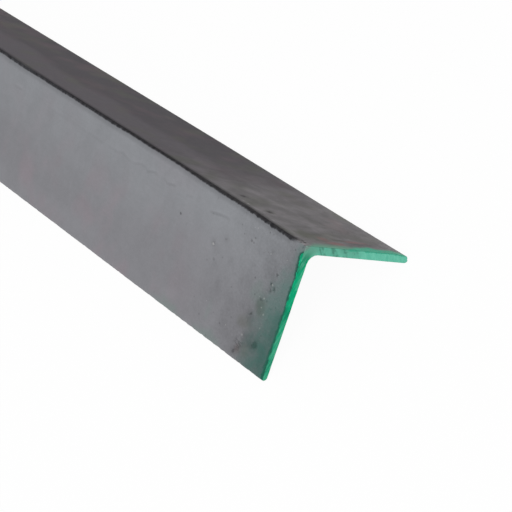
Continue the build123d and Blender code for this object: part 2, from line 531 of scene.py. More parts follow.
class Wire:
    """What a node puts out; working with it places further nodes on the same bench."""

    def __init__(self, bench, socket):
        self.bench, self.socket = bench, socket

    def __add__(self, other):
        return self.bench.calc("ADD", self, other)

    def __radd__(self, other):
        return self.bench.calc("ADD", other, self)

    def __sub__(self, other):
        return self.bench.calc("SUBTRACT", self, other)

    def __rsub__(self, other):
        return self.bench.calc("SUBTRACT", other, self)

    def __mul__(self, other):
        return self.bench.calc("MULTIPLY", self, other)

    def __truediv__(self, other):
        return self.bench.calc("DIVIDE", self, other)

    def __rtruediv__(self, other):
        return self.bench.calc("DIVIDE", other, self)

    def __abs__(self):
        return self.bench.calc("ABSOLUTE", self)

    def ease(self, start, end, low=0.0, high=1.0):
        """Goes smoothly from low to high while this goes from start to end."""
        return self.bench.out("ShaderNodeMapRange", {0: self, 1: start, 2: end, 3: low, 4: high},
                              interpolation_type="SMOOTHSTEP")

    def place_maths(self, operation, other=None, output=0):
        """Vector working, with this as its first side."""
        return self.bench.out("ShaderNodeVectorMath", {0: self, 1: other}, output, operation=operation)

    def stretch(self, along, over, layer=1.0):
        """A place on the skin with its runs along and over the bar multiplied."""
        return self.place_maths("MULTIPLY", (along, over, layer))

    def shift(self, offset):
        return self.place_maths("ADD", offset)

    def turn(self, angle):
        """A place on the section, turned about the heel."""
        return self.bench.out("ShaderNodeVectorRotate", {"Vector": self, "Angle": angle},
                              rotation_type="Z_AXIS")

    def length(self):
        return self.place_maths("LENGTH", output="Value")

    def cloud(self, scale, detail=3.0, roughness=0.5, distortion=0.0):
        """Soft irregular patches, about 0.5 on average; the scale is in patches a millimetre."""
        return self.bench.out("ShaderNodeTexNoise", {
            "Vector": self, "Scale": scale, "Detail": detail, "Roughness": roughness,
            "Distortion": distortion})

    def near(self, place, radii, edge=0.35):
        """1 round a place on the skin, 0 past the radii along and over the bar."""
        away = self.shift(tuple(-part for part in place))
        return away.stretch(1 / radii[0], 1 / radii[1], 0.0).length().ease(1.0, edge)

    def dots(self, scale, size, share):
        """Scattered dots: cells a millimetre, size in cells, and the share of cells that have one."""
        cells = self.bench.wires(self.bench.put("ShaderNodeTexVoronoi", {"Vector": self, "Scale": scale}))
        pick = self.bench.wires(self.bench.put("ShaderNodeSeparateColor", {0: cells["Color"]}))
        spread = pick["Green"].ease(0.0, 1.0, 0.35 * size, size)
        return cells["Distance"].ease(spread, spread * 0.4) * pick["Red"].ease(1.0 - share, 1.02 - share)

    def shade(self, amount):
        """A colour made lighter or darker."""
        return self.bench.scaled(self, amount)

    def read_stops(self, reach, stops):
        """Two values that change along this one; each stop is a place, up to reach, and both values there."""
        ramp = self.bench.put("ShaderNodeValToRGB", {0: self / reach})
        elements = ramp.color_ramp.elements
        elements.remove(elements[-1])
        for number, (place, first, second) in enumerate(stops):
            stop = elements.new(place / reach) if number else elements[0]
            stop.position = place / reach
            stop.color = (first, second, 0.0, 1.0)
        pair = self.bench.put("ShaderNodeSeparateColor", {0: self.bench.wires(ramp)["Color"]})
        return list(self.bench.wires(pair).values())[:2]


class Bench:
    """One node tree being laid out."""

    def __init__(self, tree):
        self.tree, self.placed = tree, 0
        tree.nodes.clear()

    def put(self, kind, inputs=(), **settings):
        """Places a node; inputs gives sockets by name or number, each a wire, a number or a colour."""
        node = self.tree.nodes.new(kind)
        node.location = (230 * (self.placed // 5), -260 * (self.placed % 5))
        self.placed += 1
        for name, value in settings.items():
            setattr(node, name, value)
        for name, value in dict(inputs).items():
            socket = node.inputs[name]
            if isinstance(value, Wire):
                self.tree.links.new(value.socket, socket)
            elif value is not None:
                socket.default_value = (*value, 1) if socket.type == "RGBA" else value
        return node

    def out(self, kind, inputs=(), output=0, **settings):
        """Places a node and gives one of its outputs."""
        return Wire(self, self.put(kind, inputs, **settings).outputs[output])

    def wires(self, node):
        """A node's outputs by name."""
        return {socket.name: Wire(self, socket) for socket in node.outputs}

    def group(self, tree, **inputs):
        """Places a shared group and gives its outputs; sockets are named with _ for a space."""
        named = {name.replace("_", " "): value for name, value in inputs.items()}
        return self.wires(self.put("ShaderNodeGroup", named, node_tree=tree))

    def calc(self, operation, first, second=None):
        return self.out("ShaderNodeMath", {0: first, 1: second}, operation=operation)

    def most(self, first, *others):
        """The highest of some values."""
        for other in others:
            first = self.calc("MAXIMUM", first, other)
        return first

    def blend(self, mask, first, second):
        """The first colour where the mask is 0, the second where it is 1."""
        return self.out("ShaderNodeMix", {0: mask, 6: first, 7: second}, 2, data_type="RGBA")

    def scaled(self, value, amount):
        """A colour made lighter or darker, or a place drawn out from the middle."""
        return self.out("ShaderNodeVectorMath", {0: value, "Scale": amount}, operation="SCALE")

    def join(self, x, y, z):
        return self.out("ShaderNodeCombineXYZ", {0: x, 1: y, 2: z})

    def laid(self, name):
        """A value that the mesh holds at its points."""
        return self.out("ShaderNodeAttribute", output="Fac", attribute_name=name)


def new_group(name, inputs, outputs):
    """An empty shared group with named sockets, its bench, its inputs, and what hands over its outputs."""
    tree = bpy.data.node_groups.new(name, "ShaderNodeTree")
    for way, socket_names in (("INPUT", inputs), ("OUTPUT", outputs)):
        for socket_name in socket_names:
            kind = "NodeSocket" + SOCKET_KINDS.get(socket_name, "Float")
            socket = tree.interface.new_socket(name=socket_name, in_out=way, socket_type=kind)
            if socket_name in SOCKET_STARTS:
                socket.default_value = SOCKET_STARTS[socket_name]
    bench = Bench(tree)
    way_in = bench.wires(bench.put("NodeGroupInput"))

    def deliver(**results):
        bench.put("NodeGroupOutput", {name.replace("_", " "): wire for name, wire in results.items()})
        return tree

    return bench, way_in, deliver


def new_material(name):
    """A material with its bench; finish_material closes it."""
    material = bpy.data.materials.new(name)
    material.use_nodes = True
    return material, Bench(material.node_tree)


def finish_material(bench, colour, roughness, height, plain):
    """Ends a material in a Principled BSDF; plain gives what is the same all over."""
    normal = bench.out("ShaderNodeBump", {"Height": height, "Distance": MM})
    shader = bench.out("ShaderNodeBsdfPrincipled", {
        "Base Color": colour, "Roughness": roughness, "Normal": normal, **plain})
    bench.put("ShaderNodeOutputMaterial", {"Surface": shader})


# ---------------------------------------------------------------- shared effects

def places_group(sizes):
    """Where on the bar a spot is, in millimetres."""
    bench, _, deliver = new_group("Bar places", (), (
        "From Cut", "From Heel", "Over Heel", "Right", "Outside", "Skin", "Right Run", "Left Run", "Section"))
    at = bench.out("ShaderNodeTexCoord", output="Object")
    spot = bench.wires(bench.put("ShaderNodeSeparateXYZ", {0: at}))
    from_cut = spot["X"] * (-1 / MM) + sizes.length / 2 / MM
    signed, outside = bench.laid("from_heel"), bench.laid("outside")
    drop = spot["Z"] * (-sqrt(0.5) / MM) + Section(sizes).heel_height * sqrt(0.5)
    swing = spot["Y"] * (sqrt(0.5) / MM)
    right_run, left_run = drop + swing, drop - swing
    return deliver(From_Cut=from_cut, From_Heel=abs(signed), Over_Heel=signed, Right=signed.ease(-0.5, 0.5),
                   Outside=outside.ease(0.2, 0.8), Skin=bench.join(from_cut, signed, outside * SKIN_LAYER),
                   Right_Run=right_run, Left_Run=left_run,
                   Section=bench.join(right_run, left_run, from_cut * 0.7))


def grain_group():
    """Fine grain of steel: small light and dark flecks and their height."""
    bench, way_in, deliver = new_group("Steel grain", ("Vector", "Size"), ("Tone", "Height"))
    scaled = bench.scaled(way_in["Vector"], 1.0 / way_in["Size"])
    fine = scaled.cloud(1.6, 5.0, 0.62)
    coarse = scaled.shift((31.0, 7.0, 3.0)).cloud(0.35, 3.0, 0.55)
    tone = fine * 0.6 + coarse * 0.4
    return deliver(Tone=tone, Height=fine * 0.01 + coarse * 0.012)


def scale_group(finish, grain):
    """Mill scale as the rolls leave it on both legs and inside, with painted shade on the right leg: tones,
    soft clouds, streaks and grain.
    """
    bench, way_in, deliver = new_group("Rolled scale", ("Skin", "From Cut", "From Heel", "Right", "Outside"),
                                       ("Color", "Clouds", "Roughness", "Height"))
    skin, from_cut, from_heel = way_in["Skin"], way_in["From Cut"], way_in["From Heel"]
    right, outside = way_in["Right"], way_in["Outside"]
    drift = skin.stretch(0.5, 1.0).cloud(0.05, 3.0, 0.55)
    lower = (from_heel + drift * 24.0).ease(16.0, 48.0)
    left_tone = bench.blend(lower, finish.left_upper, finish.left_lower)
    left_tone = left_tone.shade(1.0 + from_heel.ease(38.0, 45.0) * from_cut.ease(80.0, 125.0, 0.0, 0.05))
    # Painted shade on the right leg: darker along the bar and lower down its face, and by its toe a little
    # lighter near the cut but darker farther along.
    away = (from_cut + drift * 40.0).ease(56.0, 118.0)
    right_tone = bench.blend(away, finish.right_near_shaded, finish.right_far_shaded)
    below = (from_heel + drift * 22.0).ease(25.0, 37.0)
    toeward = from_heel.ease(36.0, 44.0)
    right_tone = right_tone.shade(1.0 + away * below.ease(0.0, 1.0, 0.07, -0.21)
                                  + toeward * from_cut.ease(60.0, 125.0, 0.01, -0.06))
    tone = bench.blend(right, left_tone, right_tone)
    tone = bench.blend(outside, finish.inside, tone)

    # Purple where the scale is thin, on both legs, darker on the right one as painted shade, and olive
    # patches on the right one
    thin = skin.stretch(0.9, 0.7).shift((40.0, 11.0, 5.0)).cloud(0.08, 2.0, 0.5)
    blush = (thin.ease(0.44, 0.72, 0.0, 0.6) * from_heel.ease(10.0, 34.0, 0.25, 1.0)
             * from_cut.ease(30.0, 85.0))
    tone = bench.blend(blush, tone, bench.blend(right, finish.blush, finish.plum_shaded))
    olive = skin.stretch(0.9, 0.7).shift((8.0, 60.0, 2.0)).cloud(0.08, 1.0)
    tone = bench.blend(olive.ease(0.52, 0.72) * right * 0.4, tone, finish.moss)

    # Soft clouds, stronger on the right leg, with rolling streaks and grain
    clouds = skin.stretch(1.0, 0.75).shift((3.0, 90.0, 0.0)).cloud(0.11, 3.0, 0.5, 0.4)
    streaks = skin.stretch(0.012, 1.1).cloud(1.0, 4.0, 0.6)
    fine = bench.group(grain, Vector=skin, Size=1.0)
    depth = 0.03 + right * from_cut.ease(130.0, 60.0, 0.05, 0.16)
    light = (1.0 + clouds.ease(0.3, 0.7, -1.0, 1.0) * depth + streaks.ease(0.25, 0.75, -0.008, 0.008)
             + fine["Tone"].ease(0.3, 0.7, -0.04, 0.04))
    return deliver(Color=tone.shade(light), Clouds=clouds, Roughness=clouds.ease(0.3, 0.7, 0.54, 0.64),
                   Height=fine["Height"] + streaks * 0.004)


def heel_group(finish):
    """The black ridge of the heel, ragged below, fading out over the right leg and beside the cut."""
    bench, way_in, deliver = new_group("Black heel", ("Color", "Skin", "From Cut", "Over Heel", "Outside"),
                                       ("Color", "Heel"))
    skin, from_cut, outside = way_in["Skin"], way_in["From Cut"], way_in["Outside"]
    ragged = skin.stretch(0.5, 0.3).cloud(1.0, 4.0, 0.65)
    sway = skin.stretch(0.03, 0.0, 0.0).cloud(1.0, 2.0, 0.5)
    rough_edge = ragged.ease(0.25, 0.75, -1.0, 1.0) * from_cut.ease(70.0, 20.0, 0.14, 0.35)
    over = (way_in["Over Heel"] + rough_edge + sway.ease(0.3, 0.7, -0.2, 0.2)
            + from_cut.ease(40.0, 8.0, -0.4, 0.3) + from_cut.ease(80.0, 180.0, 0.0, 0.75))
    beyond = (over + from_cut.ease(110.0, 180.0, 0.0, 0.6)
              - from_cut.ease(16.0, 30.0) * from_cut.ease(78.0, 58.0) * 0.45)
    core = over.ease(-1.2, -0.4) * beyond.ease(1.7, 0.9) * ragged.ease(0.3, 0.65, 0.82, 1.0)
    soft = over.ease(-1.2, -0.4) * beyond.ease(3.4, 1.0) * 0.55
    fringe = over.ease(-3.1, -1.2) * over.ease(1.0, 0.0) * 0.21
    heel = bench.most(core, soft, fringe) * outside * (from_cut + over).ease(4.0, 8.2)
    tone = bench.blend(heel * 0.97, way_in["Color"], finish.heel_line)
    return deliver(Color=tone, Heel=heel)


def mark_group():
    """One pit, scab or fleck at a given place, laid over those before it; Uneven is a soft noise about 0."""
    bench, way_in, deliver = new_group("Surface mark", (
        "Skin", "Uneven", "Place", "Radius", "Depth", "Rim", "Dark Below", "Bright Below", "Height Below"),
        ("Dark", "Bright", "Height"))
    away = way_in["Skin"].place_maths("SUBTRACT", way_in["Place"])
    reach = way_in["Uneven"] * 2.6 + away.stretch(0.87, 1.0, 0.0).length() / way_in["Radius"]
    core = reach.ease(1.1, 0.3)
    rim = abs(reach - 1.0).ease(0.5, 0.0) * way_in["Rim"]
    sunk = core * way_in["Depth"].ease(0.0, 0.18)
    raised = core * way_in["Depth"].ease(0.0, -0.08)
    relief = rim * 0.5 - core * way_in["Depth"] * 0.5
    return deliver(Dark=bench.most(way_in["Dark Below"], sunk, rim * 8.0),
                   Bright=bench.most(way_in["Bright Below"], raised),
                   Height=way_in["Height Below"] + relief)


def paint_group(finish):
    """Brushed green paint, thick and deep or thin and milky."""
    bench, way_in, deliver = new_group("Green paint", ("Brushed", "Thin"), ("Color", "Roughness", "Height"))
    strokes = way_in["Brushed"].cloud(1.0, 4.0, 0.6)
    patches = way_in["Brushed"].shift((17.0, 3.0, 9.0)).cloud(0.35, 2.0, 0.5)
    deep = bench.blend(strokes.ease(0.5, 0.72), finish.emerald, finish.bright)
    deep = bench.blend(patches.ease(0.5, 0.68), deep, finish.deep)
    milky = bench.blend(strokes.ease(0.3, 0.7), finish.shade_mint, finish.mint)
    colour = bench.blend(way_in["Thin"], deep, milky)
    return deliver(Color=colour, Roughness=strokes.ease(0.2, 0.8, 0.38, 0.56), Height=strokes * 0.03)


def saw_group():
    """Marks of the saw over an end: fine parallel scores with a coarser beat."""
    _, way_in, deliver = new_group("Saw marks", ("Section", "Depth"), ("Tone", "Height"))
    turned = way_in["Section"].turn(radians(37))
    fine = turned.stretch(0.06, 3.2).cloud(1.0, 3.0, 0.6)
    coarse = turned.stretch(0.02, 0.6).cloud(1.0, 2.0, 0.5)
    tone = fine * 0.65 + coarse * 0.35
    return deliver(Tone=tone, Height=tone * way_in["Depth"])


# ---------------------------------------------------------------- the bar's materials

# The lapped line under the heel of the left leg: mm from the painted cut, mm from the heel, strength
LAPS = (
    (39, 6.8, 0.0), (42, 6.9, 0.7), (46, 7.4, 1.0), (50, 8.2, 0.8), (52, 8.4, 0.0), (62, 7.6, 0.0),
    (64, 7.8, 0.6), (67, 8.4, 0.0), (73, 7.6, 0.0), (75, 7.8, 0.9), (79, 8.6, 0.7), (80, 7.7, 0.5),
    (84, 8.2, 0.0), (87, 7.6, 0.8), (92, 8.9, 0.9), (93, 8.1, 0.4), (96, 7.8, 0.8), (101, 9.2, 0.7),
    (103, 9.2, 0.0), (106, 8.9, 0.9), (109, 8.1, 0.8), (113, 9.0, 0.5), (124, 9.1, 0.2), (137, 9.2, 0.4),
    (146, 9.0, 0.1), (158, 9.6, 0.4), (164, 9.5, 0.0), (185, 9.4, 0.0), (187, 9.6, 0.9), (191, 9.7, 0.8),
    (193, 9.6, 0.0))


def rolled_start(bench, shared):
    """The first nodes of every rolled face: its places and its mill scale."""
    at = bench.group(shared["places"])
    scale = bench.group(shared["scale"], Skin=at["Skin"], From_Cut=at["From Cut"],
                        From_Heel=at["From Heel"], Right=at["Right"], Outside=at["Outside"])
    return at, scale


def lay_heel(bench, shared, at, tone):
    """The black heel laid over a rolled face's colour."""
    return bench.group(shared["heel"], Color=tone, Skin=at["Skin"], From_Cut=at["From Cut"],
                       Over_Heel=at["Over Heel"], Outside=at["Outside"])


def lay_marks(bench, shared, leg, skin, uneven, height):
    """The listed marks of one leg, each laid over those before it: pits, what stands proud, and height."""
    dark, bright = 0.0, 0.0
    for cut, heel_run, radius, depth, rim in MARKS[leg]:
        mark = bench.group(shared["mark"], Skin=skin, Uneven=uneven, Place=(cut, leg * heel_run, SKIN_LAYER),
                           Radius=radius, Depth=depth, Rim=rim, Dark_Below=dark, Bright_Below=bright,
                           Height_Below=height)
        dark, bright, height = mark["Dark"], mark["Bright"], mark["Height"]
    return dark, bright, height


def mill_scale_material(_finish, shared):
    """Mill scale inside the angle and along the rest of the bar, with the black heel."""
    material, bench = new_material("mill_scale")
    at, scale = rolled_start(bench, shared)
    heel = lay_heel(bench, shared, at, scale["Color"])
    rough = scale["Roughness"] + heel["Heel"] * HEEL_ROUGHER
    finish_material(bench, heel["Color"], rough, scale["Height"], SCALE_GLOSS)
    return material


def lapped_line(at, uneven):
    """The line lapped in under the left leg's heel, in short slanting dashes, and the step above it."""
    stops = [(cut, heel_run / LAP_REACH, strength) for cut, heel_run, strength in LAPS]
    lap, strength = at["From Cut"].read_stops(LEGS_STRETCH, stops)
    run = at["From Heel"] - lap * LAP_REACH + uneven * 1.2
    strength = strength * at["Outside"]
    return abs(run).ease(0.85, 0.1) * strength, run.ease(-3.0, -0.6) * run.ease(0.6, -0.2) * strength


def loose_flakes(bench, at, uneven):
    """Cracks between the flakes that have come loose by the left leg's toe."""
    shaken = at["Skin"].shift(uneven * 2.5).stretch(0.6, 1.3)
    cracks = bench.out("ShaderNodeTexVoronoi", {"Vector": shaken, "Scale": 0.5}, "Distance",
                       feature="DISTANCE_TO_EDGE")
    flaking = at["Skin"].near((16.2, LEFT * 43.2, SKIN_LAYER), (3.4, 3.6))
    return cracks.ease(0.16, 0.0) * flaking * at["Outside"]


def green_mist(bench, finish, at, crumb):
    """Green overspray that widens down the left leg: how much there is, and its colour."""
    skin, from_cut, from_heel = at["Skin"], at["From Cut"], at["From Heel"]
    edge_noise = skin.cloud(0.13, 4.0, 0.62)
    reach = from_heel.ease(4.0, 30.0, 3.0, 13.0) + edge_noise * 13.0 - 5.5
    mist = (from_cut / bench.most(reach, 0.5)).ease(1.3, 0.2)
    drifts = skin.cloud(0.17, 4.0, 0.55)
    mist = (mist * crumb.ease(0.25, 0.7, 0.75, 1.0) * drifts.ease(0.34, 0.6, 0.68, 1.0)
            * from_heel.ease(1.0, 18.0, 0.62, 1.0))
    deeper = (from_heel + drifts * 36.0 - from_cut * 1.1).ease(30.0, 54.0)
    return mist, bench.blend(deeper, finish.pale_spray, finish.overspray)


def inside_left_paint(at):
    """How far a spot of the left leg is inside the edge of the end's paint, which laps over by the heel."""
    from_heel = at["From Heel"]
    frayed = at["Skin"].cloud(0.45, 3.0, 0.65).ease(0.3, 0.7, -0.4, 0.4)
    edge = (from_heel.ease(2.0, 14.0, 1.2, 0.0) + from_heel.ease(14.0, 26.0, 0.0, -0.5)
            + from_heel.ease(3.6, 0.8, 0.0, -2.2) + frayed)
    return edge - at["From Cut"]


def left_leg_material(finish, shared):
    """The left leg's outer face: a lapped line, and pits, flaking scale and green mist by the cut."""
    material, bench = new_material("left_leg_scale")
    at, scale = rolled_start(bench, shared)
    skin, from_cut, from_heel, outside = at["Skin"], at["From Cut"], at["From Heel"], at["Outside"]
    clouds = scale["Clouds"]
    uneven = skin.cloud(0.9, 3.0, 0.6) - 0.5
    by_cut = (from_cut + clouds * 14.0).ease(46.0, 8.0)
    light = (1.0 + by_cut * from_heel.ease(0.0, 42.0, -0.13, -0.33) + from_cut.ease(9.0, 1.0, 0.0, -0.1)
             + uneven * from_cut.ease(60.0, 6.0, 0.1, 0.34) - bench.laid("darker"))
    line, step = lapped_line(at, uneven)
    light = light + line * from_cut.ease(60.0, 110.0, -0.19, -0.11) + step * 0.05

    # Crumbling scale beside the cut, and flakes that have cracked loose by the toe
    crumb = skin.cloud(1.7, 2.0, 0.7)
    crumbly = (from_cut + clouds * 9.0).ease(18.0, 9.0) * from_heel.ease(5.0, 16.0, 0.35, 1.0) * outside
    cracks = loose_flakes(bench, at, uneven)
    light = light + crumbly * crumb.ease(0.3, 0.7, -0.13, 0.09) - cracks * 0.24
    tone = bench.blend(bench.laid("olive"), scale["Color"], finish.moss)
    tone = bench.blend(bench.laid("brown"), tone, finish.umber)
    tone = bench.blend(bench.laid("greenish"), tone, finish.toe_green)
    tone = tone.shade(light)
    height = scale["Height"] - line * 0.03 + step * 0.012 + crumbly * crumb * 0.05 - cracks * 0.05

    # Pits and scabs at listed places, and scattered ones that crowd towards the cut
    pits, proud, height = lay_marks(bench, shared, LEFT, skin, uneven, height)
    crowd = from_cut.ease(75.0, 4.0) * outside
    specks = skin.dots(0.42, 0.26, 0.3) * crowd
    flecks = skin.shift((5.0, 2.0, 1.0)).dots(0.6, 0.2, 0.1) * crowd
    pits = bench.most(pits * outside, specks * 0.6)
    tone = bench.blend(pits * 0.75, tone, finish.soot)
    tone = bench.blend(bench.most(proud * outside, flecks) * 0.55, tone, finish.bare)
    height = height - specks * 0.05 + flecks * 0.04

    # Green mist, the black heel, and the paint's edge with the dark line that it makes all the way down
    mist, spray = green_mist(bench, finish, at, crumb)
    tone = bench.blend(mist * outside * 0.95, tone, spray)
    heel = lay_heel(bench, shared, at, tone)
    inside_paint = inside_left_paint(at)
    edge_shade = inside_paint.ease(-1.6, -0.3) * outside
    tone = bench.blend(edge_shade * 0.95, heel["Color"], finish.drip)
    covered = inside_paint.ease(-0.15, 0.2) * outside
    paint = bench.group(shared["paint"], Brushed=skin.stretch(1.4, 0.5), Thin=0.0)
    tone = bench.blend(covered, tone, paint["Color"])
    height = height + covered * PAINT_HEIGHT
    rough = scale["Roughness"] + heel["Heel"] * HEEL_ROUGHER + mist * 0.12 + pits * PITS_ROUGHER
    rough = bench.out("ShaderNodeMix", {0: covered, 2: rough, 3: paint["Roughness"]})
    finish_material(bench, tone, rough, height, SCALE_GLOSS)
    return material


def green_haze(bench, at):
    """How much green haze lies over the right leg's edge, strongest near the heel."""
    from_heel = at["From Heel"]
    reach = at["From Cut"] / from_heel.ease(0.5, 7.0, 0.8, 5.0)
    return (reach.ease(1.0, 0.0) * at["Outside"]
            * bench.most(from_heel.ease(30.0, 16.0, 0.35, 0.78), from_heel.ease(34.0, 42.0, 0.35, 0.7)))


def covered_by_lap(at):
    """1 where the end's thick paint laps over the right leg's edge."""
    from_heel = at["From Heel"]
    frayed = at["Skin"].cloud(0.2, 2.0, 0.5).ease(0.3, 0.7, -0.7, 0.7)
    lap = from_heel.ease(16.0, 27.0, -1.6, 3.3) + from_heel.ease(38.0, 50.0, 0.0, -2.4) + frayed
    return (lap - at["From Cut"]).ease(-1.3, 0.9) * at["Outside"]


def right_leg_material(finish, shared):
    """The right leg's outer face: rubbed patches, a brown stain and paint that laps over the edge."""
    material, bench = new_material("right_leg_scale")
    at, scale = rolled_start(bench, shared)
    skin, from_cut, from_heel, outside = at["Skin"], at["From Cut"], at["From Heel"], at["Outside"]
    uneven = skin.stretch(1.0, 0.7).cloud(0.5, 4.0, 0.65) - 0.5
    rubbed = (abs(from_heel + uneven * 3.0 - 4.4).ease(1.7, 0.4)
              * skin.stretch(0.12, 0.5).cloud(1.0, 3.0, 0.6).ease(0.4, 0.6)
              * from_cut.ease(8.0, 14.0) * from_cut.ease(62.0, 46.0))
    light = 1.0 + rubbed * 0.16 + uneven * from_cut.ease(90.0, 12.0, 0.2, 0.52) - bench.laid("darker")
    tone = bench.blend(bench.laid("olive"), scale["Color"], finish.moss)
    tone = bench.blend(bench.laid("brown"), tone, finish.rust)
    tone = tone.shade(light)
    pits, proud, height = lay_marks(bench, shared, RIGHT, skin, uneven, scale["Height"])
    crowd = from_cut.ease(75.0, 4.0) * outside
    specks = skin.dots(0.42, 0.26, 0.22) * crowd
    pits = bench.most(pits * outside, specks * 0.45)
    tone = bench.blend(pits * 0.7, tone, finish.soot)
    flecked = (skin.cloud(0.6, 3.0, 0.65).ease(0.48, 0.62)
               * skin.near((5.0, RIGHT * 46.0, SKIN_LAYER), (7.0, 8.0)))
    proud = bench.most(proud, flecked * 0.8) * outside
    tone = bench.blend(proud * 0.5, tone, finish.bare)
    heel = lay_heel(bench, shared, at, tone)

    # Green haze over the edge near the heel, and thick paint lapped over it down the leg
    tone = bench.blend(green_haze(bench, at), heel["Color"], finish.haze)
    covered = covered_by_lap(at)
    strokes = skin.stretch(0.8, 0.25).cloud(1.0, 3.0, 0.6)
    painted = bench.scaled(finish.paint_edge, strokes.ease(0.3, 0.7, 0.86, 1.08))
    tone = bench.blend(covered * from_heel.ease(32.0, 46.0, 0.95, 0.66), tone, painted)
    height = height + covered * PAINT_HEIGHT - specks * 0.05
    rough = scale["Roughness"] + heel["Heel"] * HEEL_ROUGHER + pits * PITS_ROUGHER - covered * 0.12
    finish_material(bench, tone, rough, height, SCALE_GLOSS)
    return material


def left_end_tone(bench, finish, at, deep, down_left):
    """The left leg's end: deep green, duller down from the middle, with light strands."""
    right_run, left_run = at["Right Run"], at["Left Run"]
    strands = down_left.stretch(0.2, 1.1).shift((4.0, 9.0, 2.0)).cloud(1.0, 3.0, 0.6)
    bared = bench.most(right_run.ease(0.9, 2.2) * left_run.ease(22.0, 8.0),
                       left_run.ease(24.0, 32.0, 0.0, 0.6), left_run.ease(10.0, 6.0, 0.0, 0.8))
    duller = bench.blend(left_run.ease(22.0, 36.0, 0.0, 0.5), deep, finish.rubbed)
    return bench.blend(strands.ease(0.45, 0.6) * bared * 0.75, duller, finish.strand)


def missed_strokes(at, drip):
    """1 where the brush missed the right leg's end, in slanting dashes along its outer edge."""
    slanting = at["Right Run"] - at["Left Run"] * 0.85 + drip * 0.7
    missed, _ = slanting.read_stops(STROKES[-1][0], [(run, strength, 0.0) for run, strength in STROKES])
    gaps = at["Section"].shift((6.0, 1.0, 8.0)).cloud(0.5, 2.0, 0.5)
    return missed * gaps.ease(0.4, 0.56, 0.3, 1.0) * at["Left Run"].ease(4.0, 2.4)


def painted_material(finish, shared):
    """Green paint brushed over the sawn end: deep on the left leg, milky on the right."""
    material, bench = new_material("painted_end")
    at = bench.group(shared["places"])
    section, right_run, left_run = at["Section"], at["Right Run"], at["Left Run"]
    on_right = (right_run - left_run).ease(-1.5, 3.5)
    on_left = 1.0 - on_right
    down_left, down_right = section.turn(BRUSHED_LEFT), section.turn(BRUSHED_RIGHT)
    deep = bench.group(shared["paint"], Brushed=down_left.stretch(0.3, 1.3), Thin=0.0)
    milky = bench.group(shared["paint"], Brushed=down_right.stretch(0.25, 0.8), Thin=1.0)
    saw = bench.group(shared["saw"], Section=section, Depth=0.012)
    left_tone = left_end_tone(bench, finish, at, deep["Color"], down_left)
    tone = bench.blend(on_right, left_tone, milky["Color"])

    # Dark green along the outer edge of the left leg
    drip = section.cloud(0.4, 3.0, 0.65).ease(0.3, 0.7)
    strip = left_run.ease(14.0, 34.0, -0.3, 0.3) + left_run.ease(43.0, 49.0, 0.0, 0.4) + drip * 0.55
    dark_outer_edge = (right_run - strip).ease(0.35, -0.25) * on_left
    tone = bench.blend(dark_outer_edge * 0.9, tone, finish.drip)

    # On the right leg, greyish paint by the heel, missed strokes, and a thick band along the outer edge
    corner = right_run.ease(8.0, 4.0, 0.35, 0.85) * right_run.ease(30.0, 22.0) * left_run.ease(6.0, 1.0)
    tone = bench.blend(corner, tone, finish.heel_paint)
    missed = missed_strokes(at, drip)
    tone = bench.blend(missed * 0.8, tone, finish.worn)
    thick = (left_run - drip * 0.6).ease(0.25, -0.25) * right_run.ease(17.0, 21.0)
    tone = bench.blend(thick * 0.9, tone, finish.band)
    scuff = (right_run + left_run + drip * 1.2).ease(3.8, 1.6, 0.0, 0.75)
    tone = bench.blend(scuff, tone, finish.scuffed)
    height = deep["Height"] + saw["Height"] + thick * PAINT_HEIGHT - missed * 0.03
    finish_material(bench, tone, milky["Roughness"], height, PAINT_GLOSS)
    return material


def sawn_material(finish, shared):
    """Bare steel of the plain sawn end."""
    material, bench = new_material("sawn_end")
    at = bench.group(shared["places"])
    saw = bench.group(shared["saw"], Section=at["Section"], Depth=0.05)
    grain = bench.group(shared["grain"], Vector=at["Section"], Size=0.6)
    light = saw["Tone"].ease(0.3, 0.7, 0.82, 1.06) + grain["Tone"].ease(0.3, 0.7, -0.05, 0.05)
    rough = saw["Tone"].ease(0.3, 0.7, 0.46, 0.3)
    height = saw["Height"] + grain["Height"]
    finish_material(bench, bench.scaled(finish.bare, light), rough, height, BARE_METAL)
    return material


# ---------------------------------------------------------------- operators, panel and start

FLOOR_REACH = 8.0  # metres from the middle to each side
FLOOR_GLOW = 0.96  # share of the floor's look that is plain white
KEY_SIZE, KEY_DISTANCE = 1.4, 2.2  # metres
KEY_WAY = (0.50, -0.62, 0.62)  # from the bar to the lamp


class ANGLE_OT_make_bar(bpy.types.Operator):
    """Makes the bar in place of the plain solid and finishes its faces"""
    bl_idname = "angle.make_bar"
    bl_label = "Make the bar"

    def execute(self, context):
        scene = context.scene
        sizes, finish = scene.angle_sizes, scene.angle_finish
        grain = grain_group()
        shared = {"places": places_group(sizes), "grain": grain, "scale": scale_group(finish, grain),
                  "heel": heel_group(finish), "mark": mark_group(), "paint": paint_group(finish),
                  "saw": saw_group()}
        bar = bpy.data.objects.new("angle_bar", build_bar_mesh(sizes, scene.angle_relief))
        scene.collection.objects.link(bar)
        for make in (mill_scale_material, left_leg_material, right_leg_material, painted_material,
                     sawn_material):
            bar.data.materials.append(make(finish, shared))
        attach(bar, BODY)
        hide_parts(NODE)
        return {"FINISHED"}


class ANGLE_OT_make_stage(bpy.types.Operator):
    """Sets the pale floor, the plain soft light and the camera"""
    bl_idname = "angle.make_stage"
    bl_label = "Make the stage"

    def execute(self, context):
        scene, stage = context.scene, context.scene.angle_stage
        scene.view_settings.view_transform = "Standard"
        make_floor(scene, stage)
        make_world(scene, stage)
        make_key(scene, stage)
        make_camera(scene, stage)
        return {"FINISHED"}


def seen_plainly(bench):
    """1 for the camera and for what gloss and glass show, 0 for light that falls on the bar."""
    path = bench.wires(bench.put("ShaderNodeLightPath"))
    return bench.most(path["Is Camera Ray"], path["Is Glossy Ray"], path["Is Transmission Ray"])


